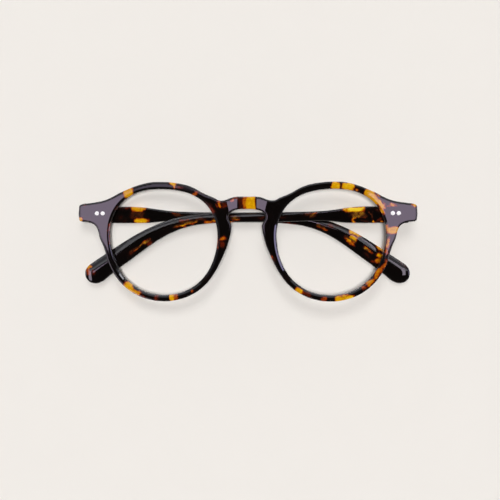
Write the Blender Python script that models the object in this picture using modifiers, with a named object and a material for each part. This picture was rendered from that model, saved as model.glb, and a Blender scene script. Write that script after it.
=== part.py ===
"""Round acetate blue light glasses, folded and lying face up on their outer temple.

Lengths are millimetres while a piece is modelled; finish() turns its mesh into metres.
The front is modelled flat on, face at z = 0 and looking along +Z, with X across the wearer's
face and Y up. The wearer's right side is at -X. Each temple is modelled folded, from its own
hinge axis. The wearer's right temple is the outer one and lies flat on z = 0.
"""
import math

import bmesh
import bpy
from mathutils import Matrix, Vector

MM = 0.001
SIDES = {"right": -1, "left": 1}

# Front
FRONT_THICKNESS = 4.0
FRONT_EDGE_ROUND = 0.6
BRIDGE_BOW = 3.0
BOW_END = 60.0

# Lenses
LENS_CENTRE_X = 34.75
OPENING_RADIUS = 22.75
OPENING_HARMONICS = ((1, 0.25, 0.60), (2, 0.25, 0.20), (3, -0.05, 0.60), (4, -0.38, 0.0))
RIM_WIDTH = 2.75
RIM_TOP_EXTRA = 0.2
GROOVE_DEPTH = 0.9
GROOVE_WIDTH = 2.4
LENS_INSET = 0.6
LENS_THICKNESS = 1.6
LENS_CURVE_RADIUS = 160.0
LENS_RIM_SAG = 1.7
BLANK_RADIUS = 27.0
BLANK_RINGS = 6

# Temples
TEMPLE_THICKNESS = 3.2
TEMPLE_EDGE_ROUND = 0.6
BUTT_OVERHANG = 1.7
CORE_RADIUS = 0.65
CORE_GAP = 0.25
CORE_END = 117.0

# Hinges
HINGE_X = 66.0
HINGE_Y = 12.0
HINGE_BEHIND_FACE = 5.8
TEMPLE_INSIDE_DROP = 1.4
KNUCKLE_RADIUS = 1.1
KNUCKLE_COUNT = 5
KNUCKLE_LENGTH = 0.95
KNUCKLE_GAP = 0.12
BORE_RADIUS = 0.52
SCREW_RADIUS = 0.45
SCREW_HEAD_RADIUS = 0.95
SCREW_HEAD_HEIGHT = 0.55
SCREW_SLOT_WIDTH = 0.28
LEAF_THICKNESS = 0.7
LEAF_HEIGHT = 4.4
LEAF_LENGTH = 7.8
PIECE_GAP = 0.3
RIVET_RADIUS = 0.92
RIVET_HOLE_RADIUS = 1.04
RIVET_HEAD_RADIUS = 1.3
RIVET_HEAD_HEIGHT = 0.4
RIVET_CHAMFER = 0.12
RIVET_SEAT_GAP = 0.03
RIVET_PROUD = 0.05
RIVET_STATIONS = (3.05, 5.5)

# Folded pose
FRONT_TILT = math.radians(2.75)
INNER_LEAN = math.radians(1.2)
AXIS_HEIGHT = TEMPLE_INSIDE_DROP + TEMPLE_THICKNESS
AXIS_BEHIND_MIDDLE = HINGE_BEHIND_FACE - FRONT_THICKNESS / 2
OBJECT_SHIFT_Y = -0.26
RIGHT_AXIS_X = AXIS_BEHIND_MIDDLE * math.sin(FRONT_TILT) - HINGE_X * math.cos(FRONT_TILT)

# Outline of the front's half at +X, from the middle of the bridge's top edge outwards
BRIDGE_TOP = ((5.0, 18.75), (7.2, 18.15), (8.9, 17.5), (10.4, 17.25), (11.8, 17.4), (13.3, 18.2))
BRIDGE_TOP_MIDDLE = (0.0, 18.85)
RIM_TOP_ARC = (130, 60)
END_PIECE = ((52.9, 20.8), (56.2, 19.05), (59.5, 17.6), (63.0, 16.75), (66.5, 16.25), (69.4, 15.8),
             (70.35, 15.2), (70.5, 14.2), (70.5, 10.0), (70.2, 9.0), (69.2, 8.6), (66.9, 8.35),
             (65.0, 7.8), (63.4, 6.6), (62.5, 4.8), (61.8, 2.0))
RIM_LOWER_ARC = (-6, -160)
NOSE_SIDE = ((10.7, -7.6), (9.6, -5.2), (8.2, -1.8), (6.95, 2.5), (6.4, 5.4), (6.35, 6.9), (6.9, 8.2),
             (7.6, 9.5), (7.75, 10.8), (7.25, 11.9), (6.0, 12.85), (3.8, 13.5))
BRIDGE_UNDER_MIDDLE = (0.0, 13.7)
ARC_STEP = 14
OPENING_STEP = 12

# Outline of a folded temple: distance along it from the hinge axis, and height
TEMPLE_TOP = ((9.0, 15.0), (18.0, 14.95), (23.0, 14.55), (28.0, 13.85), (33.0, 13.2), (41.0, 12.8),
              (52.0, 12.6), (65.0, 12.5), (78.0, 12.3), (87.0, 11.7), (94.0, 10.6), (100.5, 8.9),
              (107.0, 6.3), (111.5, 4.1), (116.5, 1.2), (121.5, -2.0), (126.5, -5.3), (131.0, -8.3),
              (133.8, -10.6), (134.7, -13.2), (133.7, -16.0), (131.0, -17.4), (128.0, -16.9))
TEMPLE_UNDER = ((124.0, -13.9), (120.0, -10.8), (115.2, -7.3), (111.0, -4.2), (106.8, -1.2),
                (102.5, 1.6), (97.5, 4.2), (90.5, 6.6), (83.5, 7.7), (76.0, 8.2), (62.0, 8.45),
                (47.0, 8.65), (36.0, 8.95), (30.0, 8.75), (25.5, 8.25), (17.0, 8.05), (8.0, 8.05))
BUTT_TOP = 15.0
BUTT_UNDER = 8.05

# Centre line of the core wire inside a folded temple
CORE_LINE = ((7.4, 11.7), (14.0, 11.6), (24.0, 11.4), (36.0, 10.95), (60.0, 10.55), (78.0, 10.25),
             (87.0, 9.45), (95.0, 7.6), (103.0, 4.7), (110.5, 0.8), (CORE_END, -3.6))

# Moulded nose pad: it leans with the side of the nose and splays towards the face
PAD_CENTRE = (10.0, 1.6)
PAD_HALF = (2.7, 6.6, 4.6)
PAD_LEAN = math.radians(16)
PAD_SPLAY = math.radians(-24)
PAD_BACK = 4.4


def clear_scene():
    for obj in list(bpy.data.objects):
        bpy.data.objects.remove(obj, do_unlink=True)


def collection(name):
    group = bpy.data.collections.new(name)
    bpy.context.scene.collection.children.link(group)
    return group


def material(name, colour, roughness, metallic, alpha=1.0):
    made = bpy.data.materials.new(name)
    made.use_nodes = True
    shader = made.node_tree.nodes["Principled BSDF"]
    shader.inputs["Base Color"].default_value = (*colour, 1.0)
    shader.inputs["Roughness"].default_value = roughness
    shader.inputs["Metallic"].default_value = metallic
    shader.inputs["Alpha"].default_value = alpha
    made.diffuse_color = (*colour, alpha)
    return made


def make_materials():
    return {
        "acetate": material("tortoiseshell_acetate", (0.055, 0.022, 0.012), 0.15, 0.0),
        "pad": material("pad_acetate", (0.10, 0.040, 0.018), 0.20, 0.0),
        "lens": material("clear_lens", (0.93, 0.95, 0.96), 0.03, 0.0, 0.25),
        "steel": material("hinge_steel", (0.62, 0.61, 0.60), 0.30, 1.0),
        "rivet": material("rivet_steel", (0.82, 0.80, 0.77), 0.25, 1.0),
        "wire": material("core_wire_brass", (0.72, 0.52, 0.24), 0.35, 1.0),
    }


# ---- building blocks -------------------------------------------------------------------------

def add_object(name, mesh, group):
    obj = bpy.data.objects.new(name, mesh)
    group.objects.link(obj)
    return obj


def weld(mesh, distance=1e-4):
    work = bmesh.new()
    work.from_mesh(mesh)
    bmesh.ops.remove_doubles(work, verts=work.verts, dist=distance)
    bmesh.ops.recalc_face_normals(work, faces=work.faces)
    work.to_mesh(mesh)
    work.free()


def baked(obj):
    """The object's mesh with its modifiers or curve settings worked out."""
    bpy.context.view_layer.update()
    seen = obj.evaluated_get(bpy.context.evaluated_depsgraph_get())
    mesh = bpy.data.meshes.new_from_object(seen)
    weld(mesh)
    return mesh


def plate(name, outlines, thickness, edge_round, group, smoothness=2):
    """A flat plate centred on z = 0 with rounded edges, from closed outlines."""
    curve = bpy.data.curves.new(name + "_outline", "CURVE")
    curve.dimensions = "2D"
    curve.fill_mode = "BOTH"
    curve.extrude = thickness / 2 - edge_round
    curve.bevel_depth = edge_round
    curve.bevel_resolution = 1
    curve.offset = -edge_round
    curve.resolution_u = smoothness
    for outline in outlines:
        spline = curve.splines.new("BEZIER")
        spline.bezier_points.add(len(outline) - 1)
        spline.use_cyclic_u = True
        for knot, (x, y, corner) in zip(spline.bezier_points, outline):
            knot.co = (x, y, 0.0)
            knot.handle_left_type = "VECTOR" if corner else "AUTO"
            knot.handle_right_type = "VECTOR" if corner else "AUTO"
    source = bpy.data.objects.new(name + "_outline", curve)
    group.objects.link(source)
    mesh = baked(source)
    bpy.data.objects.remove(source, do_unlink=True)
    return add_object(name, mesh, group)


def box(name, low, high, group):
    work = bmesh.new()
    bmesh.ops.create_cube(work, size=1.0)
    size = Vector(high) - Vector(low)
    middle = (Vector(high) + Vector(low)) / 2
    bmesh.ops.transform(work, verts=work.verts,
                        matrix=Matrix.Translation(middle) @ Matrix.Diagonal((*size, 1.0)))
    mesh = bpy.data.meshes.new(name)
    work.to_mesh(mesh)
    work.free()
    return add_object(name, mesh, group)


def upright_cylinder(name, radius, low, high, group, segments=24):
    """A cylinder along Y between two heights, round the Y axis."""
    work = bmesh.new()
    bmesh.ops.create_cone(work, cap_ends=True, segments=segments, radius1=radius, radius2=radius,
                          depth=high - low)
    turn = Matrix.Rotation(math.radians(-90), 4, "X")
    bmesh.ops.transform(work, verts=work.verts,
                        matrix=Matrix.Translation((0, (low + high) / 2, 0)) @ turn)
    mesh = bpy.data.meshes.new(name)
    work.to_mesh(mesh)
    work.free()
    return add_object(name, mesh, group)


def turned(name, profile, group, steps=24):
    """A solid of revolution round Z; the profile starts and ends on the axis."""
    mesh = bpy.data.meshes.new(name)
    points = [(radius, 0.0, z) for radius, z in profile]
    mesh.from_pydata(points, [(i, i + 1) for i in range(len(points) - 1)], [])
    source = add_object(name + "_profile", mesh, group)
    screw = source.modifiers.new("turn", "SCREW")
    screw.axis = "Z"
    screw.steps = steps
    screw.render_steps = steps
    screw.use_merge_vertices = True
    screw.merge_threshold = 0.0001
    made = baked(source)
    bpy.data.objects.remove(source, do_unlink=True)
    return add_object(name, made, group)


def tube(name, points, radius, group, smoothness=3):
    """A round bar with closed ends through points, on a smooth line."""
    curve = bpy.data.curves.new(name + "_line", "CURVE")
    curve.dimensions = "3D"
    curve.bevel_depth = radius
    curve.bevel_resolution = 2
    curve.use_fill_caps = True
    curve.resolution_u = smoothness
    spline = curve.splines.new("BEZIER")
    spline.bezier_points.add(len(points) - 1)
    for knot, point in zip(spline.bezier_points, points):
        knot.co = point
        knot.handle_left_type = "AUTO"
        knot.handle_right_type = "AUTO"
    source = bpy.data.objects.new(name + "_line", curve)
    group.objects.link(source)
    mesh = baked(source)
    bpy.data.objects.remove(source, do_unlink=True)
    return add_object(name, mesh, group)


def boolean(obj, other, operation):
    """Join or cut obj with other, which is used up."""
    modifier = obj.modifiers.new(operation.lower(), "BOOLEAN")
    modifier.operation = operation
    modifier.solver = "EXACT"
    modifier.object = other
    mesh = baked(obj)
    obj.modifiers.clear()
    obj.data = mesh
    bpy.data.objects.remove(other, do_unlink=True)


def move(obj, x=0.0, y=0.0, z=0.0):
    obj.data.transform(Matrix.Translation((x, y, z)))


def mirror_x(obj):
    obj.data.transform(Matrix.Diagonal((-1, 1, 1, 1)))
    obj.data.flip_normals()


def finish(obj, look, parent, place=(0, 0, 0), smooth_angle=35):
    """Metres, material, shading and place under the parent empty."""
    obj.data.transform(Matrix.Scale(MM, 4))
    obj.data.materials.clear()
    obj.data.materials.append(look)
    obj.data.shade_smooth()
    obj.data.set_sharp_from_angle(angle=math.radians(smooth_angle))
    obj.parent = parent
    obj.location = Vector(place) * MM


# ---- shapes of the front and lenses ----------------------------------------------------------

def opening_radius(angle):
    """Lens opening, from its centre; angle 0 points to the wearer's ear, 90 degrees up."""
    radius = OPENING_RADIUS
    for order, cosine, sine in OPENING_HARMONICS:
        radius += cosine * math.cos(order * angle) + sine * math.sin(order * angle)
    return radius


def rim_point(degrees, extra):
    angle = math.radians(degrees)
    radius = opening_radius(angle) + extra
    return (LENS_CENTRE_X + radius * math.cos(angle), radius * math.sin(angle), False)


def rim_outside(degrees):
    return rim_point(degrees, RIM_WIDTH + RIM_TOP_EXTRA * math.sin(math.radians(degrees)))


def opening_outline(extra=0.0):
    return [rim_point(angle, extra) for angle in range(0, 360, OPENING_STEP)]


def mirrored(outline):
    return [(-x, y, corner) for x, y, corner in reversed(outline)]


def front_half_outline():
    top_start, top_end = RIM_TOP_ARC
    low_start, low_end = RIM_LOWER_ARC
    half = [(x, y, False) for x, y in BRIDGE_TOP]
    half += [rim_outside(a) for a in range(top_start, top_end, -ARC_STEP)]
    half += [(x, y, False) for x, y in END_PIECE]
    half += [rim_outside(a) for a in range(low_start, low_end, -ARC_STEP)]
    half += [(x, y, False) for x, y in NOSE_SIDE]
    return half


def front_outline():
    half = front_half_outline()
    return [(*BRIDGE_TOP_MIDDLE, False)] + half + [(*BRIDGE_UNDER_MIDDLE, False)] + mirrored(half)


def bow(x):
    """How far forward the front stands at x: the bridge leads, the end pieces are flat."""
    if abs(x) >= BOW_END:
        return 0.0
    return BRIDGE_BOW * (1 + math.cos(math.pi * x / BOW_END)) / 2


def bend(obj):
    for vertex in obj.data.vertices:
        vertex.co.z += bow(vertex.co.x)


def lens_prism(name, extra, thickness, side, group):
    prism = plate(name, [opening_outline(extra)], thickness, 0.0, group)
    if side < 0:
        mirror_x(prism)
    return prism


def rivet_places(side):
    return [side * (HINGE_X - distance) for distance in RIVET_STATIONS]


def rivet_hole(name, x, low, high, group):
    hole = upright_cylinder(name, RIVET_HOLE_RADIUS, low, high, group, 20)
    hole.data.transform(Matrix.Rotation(math.radians(90), 4, "X"))
    move(hole, x, HINGE_Y)
    return hole


def make_front(group, cutters):
    front = plate("frame_front", [front_outline(), opening_outline(), mirrored(opening_outline())],
                  FRONT_THICKNESS, FRONT_EDGE_ROUND, group)
    for side in SIDES.values():
        groove = lens_prism("groove", GROOVE_DEPTH, GROOVE_WIDTH, side, cutters)
        boolean(front, groove, "DIFFERENCE")
        for x in rivet_places(side):
            boolean(front, rivet_hole("rivet_hole", x, -FRONT_THICKNESS, FRONT_THICKNESS, cutters),
                    "DIFFERENCE")
    move(front, z=-FRONT_THICKNESS / 2)
    bend(front)
    return front


def lens_blank_profile():
    """Half section of a meniscus blank, from the axis along its front and back along its rear."""
    stations = [BLANK_RADIUS * ring / BLANK_RINGS for ring in range(BLANK_RINGS + 1)]
    sag = [radius * radius / (2 * LENS_CURVE_RADIUS) for radius in stations]
    front = [(radius, LENS_RIM_SAG - drop + LENS_THICKNESS / 2) for radius, drop in zip(stations, sag)]
    rear = [(radius, z - LENS_THICKNESS) for radius, z in reversed(front)]
    return front + rear


def make_lens(name, side, group, cutters):
    lens = turned(name, lens_blank_profile(), group, 32)
    move(lens, LENS_CENTRE_X * side)
    edge = lens_prism("edged_shape", LENS_INSET, 4 * LENS_THICKNESS, side, cutters)
    boolean(lens, edge, "INTERSECT")
    move(lens, z=-FRONT_THICKNESS / 2)
    bend(lens)
    return lens


def make_nose_pad(name, side, group, cutters):
    """A pad leaning outwards behind the nose side of the rim, flat where it meets the rim."""
    work = bmesh.new()
    bmesh.ops.create_uvsphere(work, u_segments=20, v_segments=12, radius=1.0)
    turn = Matrix.Rotation(PAD_LEAN, 4, "Z") @ Matrix.Rotation(PAD_SPLAY, 4, "Y")
    bmesh.ops.transform(work, verts=work.verts, matrix=turn @ Matrix.Diagonal((*PAD_HALF, 1.0)))
    mesh = bpy.data.meshes.new(name)
    work.to_mesh(mesh)
    work.free()
    pad = add_object(name, mesh, group)
    move(pad, *PAD_CENTRE)
    reach = 20.0
    keep = box("pad_space", (0, -reach, -PAD_BACK), (reach, reach, -PIECE_GAP), cutters)
    boolean(pad, keep, "INTERSECT")
    if side < 0:
        mirror_x(pad)
    move(pad, z=-FRONT_THICKNESS)
    bend(pad)
    return pad


# ---- temples ---------------------------------------------------------------------------------

def temple_outline():
    butt = [(-BUTT_OVERHANG, BUTT_UNDER, True), (-BUTT_OVERHANG, BUTT_TOP, True)]
    top = [(u, v, False) for u, v in TEMPLE_TOP]
    under = [(u, v, False) for u, v in TEMPLE_UNDER]
    return butt + top + under


def temple_middle():
    return -(TEMPLE_INSIDE_DROP + TEMPLE_THICKNESS / 2)


def core_points(first_extra=0.0, last_extra=0.0):
    points = [Vector((u, v, temple_middle())) for u, v in CORE_LINE]
    points[0].x -= first_extra
    last_run = (points[-1] - points[-2]).normalized()
    points[-1] += last_run * last_extra
    return points


def make_temple(name, side, group, cutters):
    """A folded temple from its hinge axis: its inside faces +Z, its tip points away from it."""
    temple = plate(name, [temple_outline()], TEMPLE_THICKNESS, TEMPLE_EDGE_ROUND, group)
    move(temple, z=temple_middle())
    past_butt = CORE_LINE[0][0] + 2 * BUTT_OVERHANG
    channel = tube("core_channel", core_points(past_butt, CORE_GAP), CORE_RADIUS + CORE_GAP, cutters)
    boolean(temple, channel, "DIFFERENCE")
    for distance in RIVET_STATIONS:
        hole = rivet_hole("rivet_hole", distance, -2 * AXIS_HEIGHT, 0.0, cutters)
        boolean(temple, hole, "DIFFERENCE")
    if side > 0:
        mirror_x(temple)
    return temple


def make_core_wire(name, side, group):
    wire = tube(name, core_points(), CORE_RADIUS, group)
    if side > 0:
        mirror_x(wire)
    return wire


# ---- hinges, all from the hinge axis ---------------------------------------------------------

def knuckle_span(index):
    pitch = KNUCKLE_LENGTH + KNUCKLE_GAP
    whole = KNUCKLE_COUNT * pitch - KNUCKLE_GAP
    low = HINGE_Y - whole / 2 + index * pitch
    return low, low + KNUCKLE_LENGTH


def make_leaf(name, knuckles, plate_low, inboard, group, cutters):
    """A hinge leaf: a riveted plate with its knuckles, reaching along X to the inboard side."""
    plate_high = plate_low + LEAF_THICKNESS
    start = KNUCKLE_RADIUS + PIECE_GAP
    ends = sorted((inboard * start, inboard * LEAF_LENGTH))
    leaf = box(name, (ends[0], HINGE_Y - LEAF_HEIGHT / 2, plate_low),
               (ends[1], HINGE_Y + LEAF_HEIGHT / 2, plate_high), group)
    for index in knuckles:
        low, high = knuckle_span(index)
        web = sorted((0.0, inboard * (start + PIECE_GAP)))
        boolean(leaf, box("web", (web[0], low, plate_low), (web[1], high, plate_high), cutters),
                "UNION")
        boolean(leaf, upright_cylinder("knuckle", KNUCKLE_RADIUS, low, high, cutters), "UNION")
    reach = LEAF_HEIGHT
    boolean(leaf, upright_cylinder("pin_bore", BORE_RADIUS, HINGE_Y - reach, HINGE_Y + reach,
                                   cutters, 20), "DIFFERENCE")
    for distance in RIVET_STATIONS:
        hole = rivet_hole("rivet_hole", inboard * distance, plate_low - 1, plate_high + 1, cutters)
        boolean(leaf, hole, "DIFFERENCE")
    return leaf


def make_hinge_screw(name, group, cutters):
    """A slotted screw along the hinge axis, head up."""
    top = knuckle_span(KNUCKLE_COUNT - 1)[1] - HINGE_Y + KNUCKLE_GAP
    foot = knuckle_span(0)[0] - HINGE_Y - KNUCKLE_GAP
    crown = top + SCREW_HEAD_HEIGHT
    slot_floor = top + SCREW_HEAD_HEIGHT / 2
    rim = SCREW_HEAD_RADIUS
    profile = ((0, foot), (SCREW_RADIUS, foot), (SCREW_RADIUS, top), (rim, top),
               (rim, slot_floor), (0.75 * rim, crown), (0, crown))
    screw = turned(name, profile, group, 16)
    half_slot = SCREW_SLOT_WIDTH / 2
    slot = box("slot", (-2 * rim, -half_slot, slot_floor), (2 * rim, half_slot, 2 * crown), cutters)
    boolean(screw, slot, "DIFFERENCE")
    screw.data.transform(Matrix.Rotation(math.radians(-90), 4, "X"))
    move(screw, y=HINGE_Y)
    return screw


def make_rivet(name, x, front_face, back_face, group):
    """A rivet along Z with its flush end at front_face and its closed head past back_face."""
    low = back_face - RIVET_HEAD_HEIGHT
    seat = back_face - RIVET_SEAT_GAP
    dome = 2 * RIVET_CHAMFER
    profile = ((0, low), (RIVET_HEAD_RADIUS - dome, low), (RIVET_HEAD_RADIUS, low + dome),
               (RIVET_HEAD_RADIUS, seat), (RIVET_RADIUS, seat),
               (RIVET_RADIUS, front_face - RIVET_CHAMFER),
               (RIVET_RADIUS - RIVET_CHAMFER, front_face), (0, front_face))
    rivet = turned(name, profile, group, 16)
    move(rivet, x, HINGE_Y)
    return rivet


# ---- assembly --------------------------------------------------------------------------------

def empty(name, group, parent=None, place=(0, 0, 0), turn=0.0):
    marker = bpy.data.objects.new(name, None)
    marker.empty_display_size = 4 * MM
    group.objects.link(marker)
    marker.parent = parent
    marker.location = Vector(place) * MM
    marker.rotation_euler = (0.0, turn, 0.0)
    return marker


def build_front_body(front_axis, group, cutters, looks):
    centre = (HINGE_X, 0, HINGE_BEHIND_FACE)
    finish(make_front(group, cutters), looks["acetate"], front_axis, centre)
    for word, side in SIDES.items():
        lens = make_lens("lens_" + word, side, group, cutters)
        finish(lens, looks["lens"], front_axis, centre)
        pad = make_nose_pad("nose_pad_" + word, side, group, cutters)
        finish(pad, looks["pad"], front_axis, centre, smooth_angle=60)


def build_front_hardware(word, side, front_axis, group, cutters, looks):
    axis_place = (HINGE_X * (1 + side), 0, 0)
    plate_high = HINGE_BEHIND_FACE - FRONT_THICKNESS - PIECE_GAP
    plate_low = plate_high - LEAF_THICKNESS
    leaf = make_leaf("hinge_front_leaf_" + word, (0, 2, 4), plate_low, -side, group, cutters)
    finish(leaf, looks["steel"], front_axis, axis_place)
    screw = make_hinge_screw("hinge_screw_" + word, group, cutters)
    finish(screw, looks["steel"], front_axis, axis_place)
    for number, distance in enumerate(RIVET_STATIONS, 1):
        rivet = make_rivet(f"front_rivet_{word}_{number}", -side * distance,
                           HINGE_BEHIND_FACE + RIVET_PROUD, plate_low, group)
        finish(rivet, looks["rivet"], front_axis, axis_place)


def build_temple_body(word, side, axis, group, cutters, looks):
    inside = -TEMPLE_INSIDE_DROP
    outside = inside - TEMPLE_THICKNESS
    inboard = -side
    finish(make_temple("temple_" + word, side, group, cutters), looks["acetate"], axis)
    finish(make_core_wire("core_wire_" + word, side, group), looks["wire"], axis)
    leaf = make_leaf("hinge_temple_leaf_" + word, (1, 3), inside + PIECE_GAP, inboard, group, cutters)
    finish(leaf, looks["steel"], axis)
    for number, distance in enumerate(RIVET_STATIONS, 1):
        rivet = make_rivet(f"temple_rivet_{word}_{number}", inboard * distance, -outside - RIVET_CHAMFER,
                           -(inside + PIECE_GAP + LEAF_THICKNESS), group)
        rivet.data.transform(Matrix.Diagonal((1, 1, -1, 1)))
        rivet.data.flip_normals()
        finish(rivet, looks["rivet"], axis)


def build():
    clear_scene()
    group = collection("blue_light_glasses")
    cutters = collection("cutters")
    looks = make_materials()
    right_axis = empty("right_hinge_axis", group, None, (RIGHT_AXIS_X, OBJECT_SHIFT_Y, AXIS_HEIGHT))
    front_axis = empty("front_on_right_hinge", group, right_axis, turn=-FRONT_TILT)
    left_axis = empty("left_hinge_axis", group, front_axis, (2 * HINGE_X, 0, 0), INNER_LEAN)
    build_front_body(front_axis, group, cutters, looks)
    for word, side in SIDES.items():
        build_front_hardware(word, side, front_axis, group, cutters, looks)
    build_temple_body("right", SIDES["right"], right_axis, group, cutters, looks)
    build_temple_body("left", SIDES["left"], left_axis, group, cutters, looks)
    bpy.context.view_layer.update()


build()
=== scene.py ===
"""Looks of the round tortoiseshell blue light glasses, folded and lying face up.

The acetate front, nose pads, temples, lenses and rivets are modelled here as fine meshes over the
CAD parts that they stand for. Lengths are millimetres while a piece is modelled; settle() turns its
mesh into metres and puts it in its place. The front is modelled facing +Z, before it is tilted, and
each temple is modelled folded, from its own hinge axis.
"""

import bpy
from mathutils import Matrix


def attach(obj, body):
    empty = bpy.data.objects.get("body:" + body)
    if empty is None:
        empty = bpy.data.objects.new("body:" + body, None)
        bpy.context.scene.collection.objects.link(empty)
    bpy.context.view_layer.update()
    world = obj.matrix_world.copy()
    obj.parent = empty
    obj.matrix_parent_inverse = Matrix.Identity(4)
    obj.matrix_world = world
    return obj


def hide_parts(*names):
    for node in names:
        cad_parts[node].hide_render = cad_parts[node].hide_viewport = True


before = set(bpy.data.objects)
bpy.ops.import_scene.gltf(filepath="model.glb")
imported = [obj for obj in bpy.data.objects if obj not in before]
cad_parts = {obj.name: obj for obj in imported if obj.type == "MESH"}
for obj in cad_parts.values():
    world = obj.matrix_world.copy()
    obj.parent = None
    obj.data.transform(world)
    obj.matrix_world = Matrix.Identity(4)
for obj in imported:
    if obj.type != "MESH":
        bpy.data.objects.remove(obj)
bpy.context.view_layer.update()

import math

import bmesh
import bpy
import numpy as np
from mathutils import Matrix, Vector, geometry, noise

MM = 0.001
SIDES = {"right": -1, "left": 1}

# ---- driving dimensions of the CAD, in millimetres ---------------------------------------------

FRONT_THICKNESS = 4.0
BRIDGE_BOW = 3.0
BOW_END = 60.0
LENS_CENTRE_X = 34.75
OPENING_RADIUS = 22.75
OPENING_HARMONICS = ((1, 0.25, 0.60), (2, 0.25, 0.20), (3, -0.05, 0.60), (4, -0.38, 0.0))
RIM_WIDTH = 2.75
RIM_TOP_EXTRA = 0.2
LENS_THICKNESS = 1.6
LENS_CURVE_RADIUS = 160.0
LENS_RIM_SAG = 1.7
TEMPLE_THICKNESS = 3.2
TEMPLE_INSIDE_DROP = 1.4
BUTT_OVERHANG = 1.7
BUTT_UNDER = 8.05
BUTT_TOP = 15.0
HINGE_X = 66.0
HINGE_Y = 12.0
HINGE_BEHIND_FACE = 5.8
PIECE_GAP = 0.3
LEAF_THICKNESS = 0.7
RIVET_RADIUS = 0.92
RIVET_HEAD_RADIUS = 1.3
RIVET_HEAD_HEIGHT = 0.4
RIVET_PROUD = 0.05
RIVET_STATIONS = (3.05, 5.5)
RIVET_OUTSIDE_INSET = 0.12
RIVET_AROUND = 40
RIVET_CROWN = ((0.4, 0.002), (0.74, 0.008), (0.84, 0.03), (0.90, 0.075), (RIVET_RADIUS, 0.14))
RIVET_HEAD_ROUND = 0.06
RIVET_HEAD_WALL = 0.1
RIVET_HEAD_BREAK = 0.02
RIVET_DOME_STEPS = 7

# Folded pose
FRONT_TILT = math.radians(2.75)
INNER_LEAN = math.radians(1.2)
AXIS_HEIGHT = TEMPLE_INSIDE_DROP + TEMPLE_THICKNESS
AXIS_BEHIND_MIDDLE = HINGE_BEHIND_FACE - FRONT_THICKNESS / 2
OBJECT_SHIFT_Y = -0.26
RIGHT_AXIS_X = AXIS_BEHIND_MIDDLE * math.sin(FRONT_TILT) - HINGE_X * math.cos(FRONT_TILT)

# Outline of the front's half at +X, from the middle of the bridge's top edge outwards
BRIDGE_TOP = ((5.0, 18.75), (7.2, 18.15), (8.9, 17.5), (10.4, 17.25), (11.8, 17.4), (13.3, 18.2))
BRIDGE_TOP_MIDDLE = (0.0, 18.85)
RIM_TOP_ARC = (130, 60)
END_PIECE = ((52.9, 20.8), (56.2, 19.05), (59.5, 17.6), (63.0, 16.75), (66.5, 16.25), (69.4, 15.8),
             (70.35, 15.2), (70.5, 14.2), (70.5, 10.0), (70.2, 9.0), (69.2, 8.6), (66.9, 8.35),
             (65.0, 7.8), (63.4, 6.6), (62.5, 4.8), (61.8, 2.0))
RIM_LOWER_ARC = (-6, -160)
NOSE_SIDE = ((10.7, -7.6), (9.6, -5.2), (8.2, -1.8), (6.95, 2.5), (6.4, 5.4), (6.35, 6.9), (6.9, 8.2),
             (7.6, 9.5), (7.75, 10.8), (7.25, 11.9), (6.0, 12.85), (3.8, 13.5))
BRIDGE_UNDER_MIDDLE = (0.0, 13.7)
ARC_STEP = 14

# Outline of a folded temple: distance along it from the hinge axis, and height
TEMPLE_TOP = ((9.0, 15.0), (18.0, 14.95), (23.0, 14.55), (28.0, 13.85), (33.0, 13.2), (41.0, 12.8),
              (52.0, 12.6), (65.0, 12.5), (78.0, 12.3), (87.0, 11.7), (94.0, 10.6), (100.5, 8.9),
              (107.0, 6.3), (111.5, 4.1), (116.5, 1.2), (121.5, -2.0), (126.5, -5.3), (131.0, -8.3),
              (133.8, -10.6), (134.7, -13.2), (133.7, -16.0), (131.0, -17.4), (128.0, -16.9))
TEMPLE_UNDER = ((124.0, -13.9), (120.0, -10.8), (115.2, -7.3), (111.0, -4.2), (106.8, -1.2),
                (102.5, 1.6), (97.5, 4.2), (90.5, 6.6), (83.5, 7.7), (76.0, 8.2), (62.0, 8.45),
                (47.0, 8.65), (36.0, 8.95), (30.0, 8.75), (25.5, 8.25), (17.0, 8.05), (8.0, 8.05))
CORE_START = ((7.4, 11.7), (14.0, 11.6), (24.0, 11.4), (36.0, 10.95), (60.0, 10.55), (78.0, 10.25),
              (87.0, 9.45), (95.0, 7.6))
CORE_ENDS = {"right": ((103.0, 4.7), (110.5, 0.8), (117.0, -3.6)),
             "left": ((100.0, 5.6), (103.0, 3.7), (107.7, 0.75), (114.4, -3.4), (117.0, -5.0))}

# Moulded nose pad
PAD_CENTRE = (9.7, 1.6)
PAD_HALF = (2.2, 6.2)
PAD_LEAN = math.radians(16)
PAD_DEPTH = 4.3
PAD_RINGS = 14
PAD_AROUND = 48
PAD_SINK = 0.35
PAD_REACH = 0.97
PAD_FULLNESS = 2.6
PAD_FILLET = 0.08
PAD_FILLET_DEPTH = 0.10
PAD_LEAN_OUT = 0.4

# ---- finer shape of the acetate ----------------------------------------------------------------

OUTLINE_SPACING = 0.42
GRID_SPACING = 0.5
GRID_CLEARANCE = 0.62
EDGE_ROUND = 0.35
TEMPLE_EDGE_ROUND = 0.5
SHOULDER_WIDTH = 0.36
SHOULDER_SLOPE = 9.0
BEVEL_WIDTH = 0.95
BEVEL_DEPTH = 0.36
BEVEL_LIP = 0.12
LENS_IN_GROOVE = 0.5
BRIDGE_FLAT = 3.9
BRIDGE_FACET_SLOPE = math.tan(math.radians(3.2))
BRIDGE_FACET_HIGH = (8.5, 17.5)
BRIDGE_FACET_LOW = (7.2, 12.1)
# Slope of the rims' faces in degrees, against distance from the middle
RIM_SLOPES = ((8.0, 4.7), (48.0, 2.64), (57.0, 0.0))
# Between these distances from the middle the facets' level fades into the rims'
RIM_MEETING = (10.0, 30.0)
CREASE_HEIGHTS = (11.0, 20.0)
CREASE_HALF = 0.05

# ---- placing -----------------------------------------------------------------------------------


def shift(x=0.0, y=0.0, z=0.0):
    return Matrix.Translation((x, y, z))


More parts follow.
